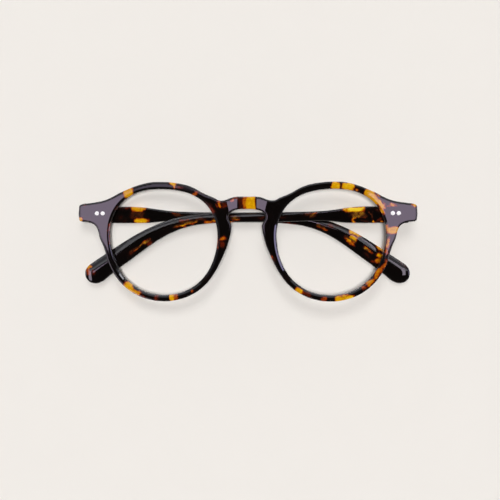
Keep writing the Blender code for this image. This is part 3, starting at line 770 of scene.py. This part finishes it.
def make_rivet(name, place, body, front_face, back_face, look, replaced):
    """A rivet along Z: a crowned end at front_face, a domed head past back_face."""
    work = bmesh.new()
    rings = [[work.verts.new(point) for point in circle(*row)]
             for row in rivet_profile(front_face, back_face)]
    join_rings(work, rings)
    for ring, level in ((rings[0], front_face), (rings[-1], back_face - RIVET_HEAD_HEIGHT)):
        tip = work.verts.new((0, 0, level))
        for i in range(RIVET_AROUND):
            work.faces.new((ring[i], ring[(i + 1) % RIVET_AROUND], tip))
    rivet = finished_object(name, work)
    return settle(rivet, place, body, look, [replaced], smooth_angle=35)


def make_rivets(look):
    leaf_back = HINGE_BEHIND_FACE - FRONT_THICKNESS - PIECE_GAP - LEAF_THICKNESS
    inside_face = -TEMPLE_INSIDE_DROP + PIECE_GAP + LEAF_THICKNESS
    outside_face = -TEMPLE_INSIDE_DROP - TEMPLE_THICKNESS + RIVET_OUTSIDE_INSET
    for word, side in SIDES.items():
        front_axis = FRONT_AXIS @ shift(HINGE_X * (1 + side))
        for number, distance in enumerate(RIVET_STATIONS, 1):
            name = f"front_rivet_{word}_{number}"
            make_rivet(name + "_pin", front_axis @ shift(-side * distance, HINGE_Y), "front",
                       HINGE_BEHIND_FACE + RIVET_PROUD, leaf_back, look, name)
            name = f"temple_rivet_{word}_{number}"
            flipped = shift(-side * distance, HINGE_Y) @ Matrix.Rotation(math.pi, 4, "X")
            make_rivet(name + "_pin", HINGE_PLACES[word] @ flipped, TEMPLE_BODIES[word],
                       -outside_face, -inside_face, look, name)


# ---- materials ---------------------------------------------------------------------------------


def srgb(red, green, blue):
    """Linear colour from 0-255 display values."""
    parts = [c / 255 for c in (red, green, blue)]
    return tuple(c / 12.92 if c <= 0.04045 else ((c + 0.055) / 1.055) ** 2.4 for c in parts) + (1.0,)


def new_material(name):
    made = bpy.data.materials.new(name)
    made.use_nodes = True
    tree = made.node_tree
    return made, tree, tree.nodes["Principled BSDF"]


def add_node(tree, kind, **values):
    node = tree.nodes.new(kind)
    for key, value in values.items():
        setattr(node, key, value)
    return node


def math_node(tree, operation, first, second=None, clamp=False):
    node = add_node(tree, "ShaderNodeMath", operation=operation, use_clamp=clamp)
    for socket, value in zip(node.inputs, (first, second)):
        if isinstance(value, bpy.types.NodeSocket):
            tree.links.new(value, socket)
        elif value is not None:
            socket.default_value = value
    return node.outputs[0]


def ramp_node(tree, factor, stops):
    node = add_node(tree, "ShaderNodeValToRGB")
    ramp = node.color_ramp
    while len(ramp.elements) < len(stops):
        ramp.elements.new(0.5)
    for element, (place, colour) in zip(ramp.elements, stops):
        element.position = place
        element.color = colour
    tree.links.new(factor, node.inputs["Fac"])
    return node.outputs["Color"]


def noise_node(tree, scale, detail=2.0, roughness=0.5):
    coordinates = add_node(tree, "ShaderNodeTexCoord")
    node = add_node(tree, "ShaderNodeTexNoise")
    node.inputs["Scale"].default_value = scale
    node.inputs["Detail"].default_value = detail
    node.inputs["Roughness"].default_value = roughness
    tree.links.new(coordinates.outputs["Object"], node.inputs["Vector"])
    return node.outputs["Fac"]


# The acetate's colour from black to the palest amber
TORTOISE_STOPS = (
    (0.00, srgb(9, 6, 5)), (0.17, srgb(18, 8, 6)), (0.29, srgb(54, 17, 7)), (0.40, srgb(98, 27, 6)),
    (0.52, srgb(146, 58, 8)), (0.63, srgb(182, 98, 8)), (0.76, srgb(196, 136, 4)), (0.88, srgb(214, 154, 2)),
    (1.00, srgb(238, 204, 44)),
)

# Drifts of dark smoke through the black, and mottling that is strongest in the middling amber
SMOKE_SCALE = 110.0
SMOKE_FROM = 0.56
SMOKE_GAIN = 0.9
MOTTLE_SCALE = 1100.0
MOTTLE_GAIN = 3.6
MOTTLE_LEAST = 0.05
HAZE_SCALE = 350.0
HAZE_GAIN = 0.03
POLISH = 0.012
ACETATE_IOR = 1.5

# The core wire's hatch, its edge and how it shows through the amber
HATCH_PITCH = 9.0
HATCH_SLANT = 1.1
HATCH_STRENGTH = 0.42
WIRE_TONE = 0.42
WIRE_GRAIN_SCALE = 500.0
WIRE_GRAIN = 1.2
AMBER_TONE_FROM = 0.8
AMBER_TONE_GAIN = 0.9
WIRE_EDGE = 1.08
WIRE_EDGE_GAIN = 4.5
CLEAR_FROM = 0.20
CLEAR_GAIN = 6.0
WIRE_STOPS = ((0.0, srgb(34, 14, 8)), (0.5, srgb(78, 40, 17)), (1.0, srgb(198, 138, 32)))


def offset_gain(tree, value, start, gain, clamp=False):
    """How far value is past start, times gain."""
    past = math_node(tree, "SUBTRACT", value, start)
    return math_node(tree, "MULTIPLY", past, gain, clamp)


def amber_level(tree):
    """How amber the acetate is, from the stored level, with smoke and mottling."""
    amber = add_node(tree, "ShaderNodeAttribute", attribute_name="amber").outputs["Fac"]
    smoke = offset_gain(tree, noise_node(tree, SMOKE_SCALE, 2.0, 0.55), SMOKE_FROM, SMOKE_GAIN, True)
    base = math_node(tree, "MAXIMUM", amber, smoke)
    edge = math_node(tree, "MULTIPLY", base, math_node(tree, "SUBTRACT", 1.0, base))
    edge = math_node(tree, "MULTIPLY", edge, base)
    liveliness = math_node(tree, "ADD", math_node(tree, "MULTIPLY", edge, MOTTLE_GAIN), MOTTLE_LEAST)
    fine = math_node(tree, "SUBTRACT", noise_node(tree, MOTTLE_SCALE, 3.0, 0.6), 0.5)
    return math_node(tree, "ADD", base, math_node(tree, "MULTIPLY", fine, liveliness), clamp=True)


def tortoise_material(name, with_core):
    """Black acetate with amber patches, ragged at fine scale; the core wire shows in the amber."""
    made, tree, shader = new_material(name)
    level = amber_level(tree)
    colour = ramp_node(tree, level, TORTOISE_STOPS)
    if with_core:
        colour = knurl(tree, colour, level)
    tree.links.new(colour, shader.inputs["Base Color"])
    haze = math_node(tree, "MULTIPLY", noise_node(tree, HAZE_SCALE, 2.0), HAZE_GAIN)
    tree.links.new(math_node(tree, "ADD", haze, POLISH), shader.inputs["Roughness"])
    shader.inputs["IOR"].default_value = ACETATE_IOR
    return made


def wire_tone(tree, level):
    """Tone of the cross-hatched wire, uneven along it and darker under darker amber."""
    place = add_node(tree, "ShaderNodeAttribute", attribute_name="along").outputs["Vector"]
    split = add_node(tree, "ShaderNodeSeparateXYZ")
    tree.links.new(place, split.inputs[0])
    hatch = []
    for sign in (1, -1):
        slant = math_node(tree, "MULTIPLY", split.outputs["Y"], sign * HATCH_SLANT)
        phase = math_node(tree, "MULTIPLY", math_node(tree, "ADD", split.outputs["X"], slant), HATCH_PITCH)
        hatch.append(math_node(tree, "SINE", phase))
    crossed = math_node(tree, "MAXIMUM", hatch[0], hatch[1])
    uneven = offset_gain(tree, noise_node(tree, WIRE_GRAIN_SCALE), 0.5, WIRE_GRAIN)
    tone = math_node(tree, "ADD", math_node(tree, "MULTIPLY", crossed, HATCH_STRENGTH), WIRE_TONE)
    tone = math_node(tree, "ADD", tone, uneven)
    behind = offset_gain(tree, level, AMBER_TONE_FROM, AMBER_TONE_GAIN)
    return math_node(tree, "ADD", tone, behind, clamp=True)


def knurl(tree, colour, level):
    """The acetate's colour with the core wire showing where the amber is clear enough."""
    wire = ramp_node(tree, wire_tone(tree, level), WIRE_STOPS)
    offset = add_node(tree, "ShaderNodeAttribute", attribute_name="core").outputs["Fac"]
    past_edge = math_node(tree, "SUBTRACT", WIRE_EDGE, math_node(tree, "ABSOLUTE", offset))
    core = math_node(tree, "MULTIPLY", past_edge, WIRE_EDGE_GAIN, clamp=True)
    clear = offset_gain(tree, level, CLEAR_FROM, CLEAR_GAIN, True)
    mix = add_node(tree, "ShaderNodeMix", data_type="RGBA")
    tree.links.new(math_node(tree, "MULTIPLY", clear, core), mix.inputs["Factor"])
    tree.links.new(colour, mix.inputs["A"])
    tree.links.new(wire, mix.inputs["B"])
    return mix.outputs["Result"]


METAL_DARK = 0.86
METAL_GRAIN = 0.14
HINGE_STEEL = (0.62, 0.61, 0.60, 1.0)
RIVET_STEEL = (0.96, 0.95, 0.94, 1.0)
WIRE_BRASS = (0.72, 0.52, 0.24, 1.0)


def metal_material(name, colour, roughness, scale, metallic=1.0):
    """Brushed metal: fine uneven roughness and a faint change of tone."""
    made, tree, shader = new_material(name)
    grain = noise_node(tree, scale, 3.0, 0.65)
    dark = tuple(METAL_DARK * c for c in colour[:3]) + (1.0,)
    tree.links.new(ramp_node(tree, grain, ((0.3, dark), (0.7, colour))), shader.inputs["Base Color"])
    rough = math_node(tree, "MULTIPLY", grain, METAL_GRAIN)
    rough = math_node(tree, "ADD", rough, roughness - METAL_GRAIN / 2)
    tree.links.new(rough, shader.inputs["Roughness"])
    shader.inputs["Metallic"].default_value = metallic
    return made


LENS_GLOSS_TINT = (0.86, 0.84, 1.0, 1.0)
LENS_GLOSS_FROM = 0.35
LENS_GLOSS_GAIN = 0.16
LENS_POLISH = 0.02


def lens_material():
    """Clear lens: see-through face on, with a violet gloss that only grows at a glancing view."""
    made = bpy.data.materials.new("clear_blue_light_lens")
    made.use_nodes = True
    tree = made.node_tree
    tree.nodes.clear()
    glass = add_node(tree, "ShaderNodeBsdfTransparent")
    glass.inputs["Color"].default_value = (1.0, 1.0, 1.0, 1.0)
    gloss = add_node(tree, "ShaderNodeBsdfGlossy")
    gloss.inputs["Color"].default_value = LENS_GLOSS_TINT
    gloss.inputs["Roughness"].default_value = LENS_POLISH
    slant = add_node(tree, "ShaderNodeLayerWeight").outputs["Facing"]
    share = offset_gain(tree, slant, LENS_GLOSS_FROM, LENS_GLOSS_GAIN, True)
    mix = add_node(tree, "ShaderNodeMixShader")
    tree.links.new(share, mix.inputs[0])
    tree.links.new(glass.outputs[0], mix.inputs[1])
    tree.links.new(gloss.outputs[0], mix.inputs[2])
    output = add_node(tree, "ShaderNodeOutputMaterial")
    tree.links.new(mix.outputs[0], output.inputs["Surface"])
    return made


EDGE_SOFTENING = 0.08


def dress_hardware(steel, brass):
    """Materials for the hinges and core wires, and softened edges for the hinges."""
    for name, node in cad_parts.items():
        if name.startswith("hinge_"):
            node.data.materials.clear()
            node.data.materials.append(steel)
            soften = node.modifiers.new("softened_edges", "BEVEL")
            soften.width = EDGE_SOFTENING * MM
            soften.segments = 2
            soften.limit_method = "ANGLE"
        elif name.startswith("core_wire"):
            node.data.materials.clear()
            node.data.materials.append(brass)


# ---- stage -------------------------------------------------------------------------------------

# The camera hangs straight over the glasses. Heights and the floor's size are in metres.
CAMERA_HEIGHT = 0.6137
CAMERA_LENS = 103.77
CAMERA_SHIFT = (0.0054, -0.01704)
CARD_HEIGHT = 5.0
FLOOR_HALF = 4.0
FLOOR_HEIGHT = -0.0002
FLOOR_GRAIN_SCALE = 60.0
FLOOR_ROUGHNESS = 0.9
FLOOR_SHEEN = 0.1
FLOOR_TONES = ((0.0, (0.848, 0.812, 0.768, 1)), (1.0, (0.862, 0.826, 0.782, 1)))
SKY_TONES = ((0.0, (0.86, 0.83, 0.79, 1)), (0.3, (0.50, 0.49, 0.48, 1)),
             (0.62, (0.06, 0.06, 0.065, 1)), (1.0, (0.015, 0.015, 0.017, 1)))

# Cards overhead: name, extents across and along as angles from straight up in degrees, radiance
CARDS = (
    ("left_softbox", (-14.2, -10.8), (-0.4, 2.8), (4.1, 3.3, 4.4)),
    ("left_softbox_edge", (-15.9, -14.2), (2.1, 3.2), (2.0, 1.7, 2.3)),
    ("right_softbox", (0.2, 3.7), (-0.6, 2.8), (4.1, 3.3, 4.4)),
    ("temple_softbox", (-30, 30), (6.0, 11.0), (2.0, 2.0, 2.15)),
    ("rear_softbox", (-30, 30), (11.0, 26.0), (0.7, 0.7, 0.77)),
    ("rear_strip", (-34, 34), (27.0, 31.0), (8.0, 8.0, 8.6)),
    ("rear_bevel_softbox", (-48, 48), (32.0, 50.0), (1.0, 1.05, 1.15)),
    ("rear_low_softbox", (-46, 46), (52.0, 64.0), (6.0, 6.0, 6.5)),
    ("left_low_softbox", (-66, -52), (-50.0, 50.0), (0.35, 0.35, 0.42)),
    ("right_low_softbox", (52, 66), (-50.0, 50.0), (0.35, 0.35, 0.42)),
    ("right_bevel_softbox", (42, 57), (-12, 24), (4.6, 4.2, 6.8)),
    ("left_bevel_softbox", (-52, -40), (-12, 12), (2.6, 2.4, 2.9)),
    ("far_right_softbox", (12, 22), (-6.0, 12.0), (5.0, 4.3, 5.2)),
    ("far_left_softbox", (-28, -19.0), (-24.0, 5.5), (5.0, 4.3, 5.2)),
)
# Distant lights: name, direction they come from, spread in degrees, strength
LIGHTS = (("key", (0.0, 0.42, 1.0), 22.0, 0.80), ("overhead", (0.0, 0.0, 1.0), 7.0, 2.02))


def make_camera():
    data = bpy.data.cameras.new("camera")
    data.sensor_width = 36.0
    data.lens = CAMERA_LENS
    data.shift_x, data.shift_y = CAMERA_SHIFT
    data.clip_start = 0.01
    camera = add_object("camera", data)
    camera.location = (0, 0, CAMERA_HEIGHT)
    bpy.context.scene.camera = camera


def sheet_object(name, low, high, height):
    mesh = bpy.data.meshes.new(name)
    corners = [(low[0], low[1], height), (high[0], low[1], height), (high[0], high[1], height),
               (low[0], high[1], height)]
    mesh.from_pydata(corners, [], [(0, 1, 2, 3)])
    obj = add_object(name, mesh)
    return obj


def reflector(name, across, along, radiance):
    """A glowing card overhead that only shows in reflections."""
    low = [CARD_HEIGHT * math.tan(math.radians(a)) for a in (across[0], along[0])]
    high = [CARD_HEIGHT * math.tan(math.radians(a)) for a in (across[1], along[1])]
    card = sheet_object(name, low, high, CARD_HEIGHT)
    made = bpy.data.materials.new(name)
    made.use_nodes = True
    tree = made.node_tree
    tree.nodes.clear()
    glow = add_node(tree, "ShaderNodeEmission")
    glow.inputs["Color"].default_value = (*radiance, 1.0)
    output = add_node(tree, "ShaderNodeOutputMaterial")
    tree.links.new(glow.outputs[0], output.inputs["Surface"])
    card.data.materials.append(made)
    card.visible_camera = False
    card.visible_diffuse = False
    card.visible_shadow = False
    card.visible_transmission = False


def make_floor():
    made, tree, shader = new_material("cream_card")
    grain = noise_node(tree, FLOOR_GRAIN_SCALE, 4.0)
    tree.links.new(ramp_node(tree, grain, FLOOR_TONES), shader.inputs["Base Color"])
    shader.inputs["Roughness"].default_value = FLOOR_ROUGHNESS
    shader.inputs["Specular IOR Level"].default_value = FLOOR_SHEEN
    floor = sheet_object("floor", (-FLOOR_HALF, -FLOOR_HALF), (FLOOR_HALF, FLOOR_HALF), FLOOR_HEIGHT)
    floor.data.materials.append(made)


def distant_light(name, direction, spread, strength):
    """A far, even light that shines from direction and shows in no reflection."""
    data = bpy.data.lights.new(name, "SUN")
    data.angle = math.radians(spread)
    data.energy = strength
    light = add_object(name, data)
    light.rotation_euler = (-Vector(direction)).to_track_quat("-Z", "Y").to_euler()
    light.visible_glossy = False


def make_world():
    world = bpy.data.worlds.new("studio")
    bpy.context.scene.world = world
    world.use_nodes = True
    tree = world.node_tree
    sky = tree.nodes["Background"]
    coordinates = add_node(tree, "ShaderNodeTexCoord")
    split = add_node(tree, "ShaderNodeSeparateXYZ")
    tree.links.new(coordinates.outputs["Generated"], split.inputs[0])
    tree.links.new(ramp_node(tree, split.outputs["Z"], SKY_TONES), sky.inputs["Color"])


def make_stage():
    make_camera()
    make_floor()
    make_world()
    for card in CARDS:
        reflector(*card)
    for light in LIGHTS:
        distant_light(*light)


def build():
    bpy.context.scene.view_settings.view_transform = "Standard"
    acetate = tortoise_material("tortoiseshell_front", False)
    temple_acetate = tortoise_material("tortoiseshell_temple", True)
    steel = metal_material("hinge_steel", HINGE_STEEL, 0.28, 2500.0)
    rivet = metal_material("rivet_steel", RIVET_STEEL, 0.30, 3000.0, 0.15)
    brass = metal_material("core_wire_brass", WIRE_BRASS, 0.34, 2500.0)
    lens = lens_material()
    make_front(acetate)
    for word, side in SIDES.items():
        make_pad(word, side, acetate)
        make_lens(word, side, lens)
    make_temple("right", OUTER_TEMPLE_PATCHES, temple_acetate)
    make_temple("left", INNER_TEMPLE_PATCHES, temple_acetate)
    make_rivets(rivet)
    dress_hardware(steel, brass)
    make_stage()


build()
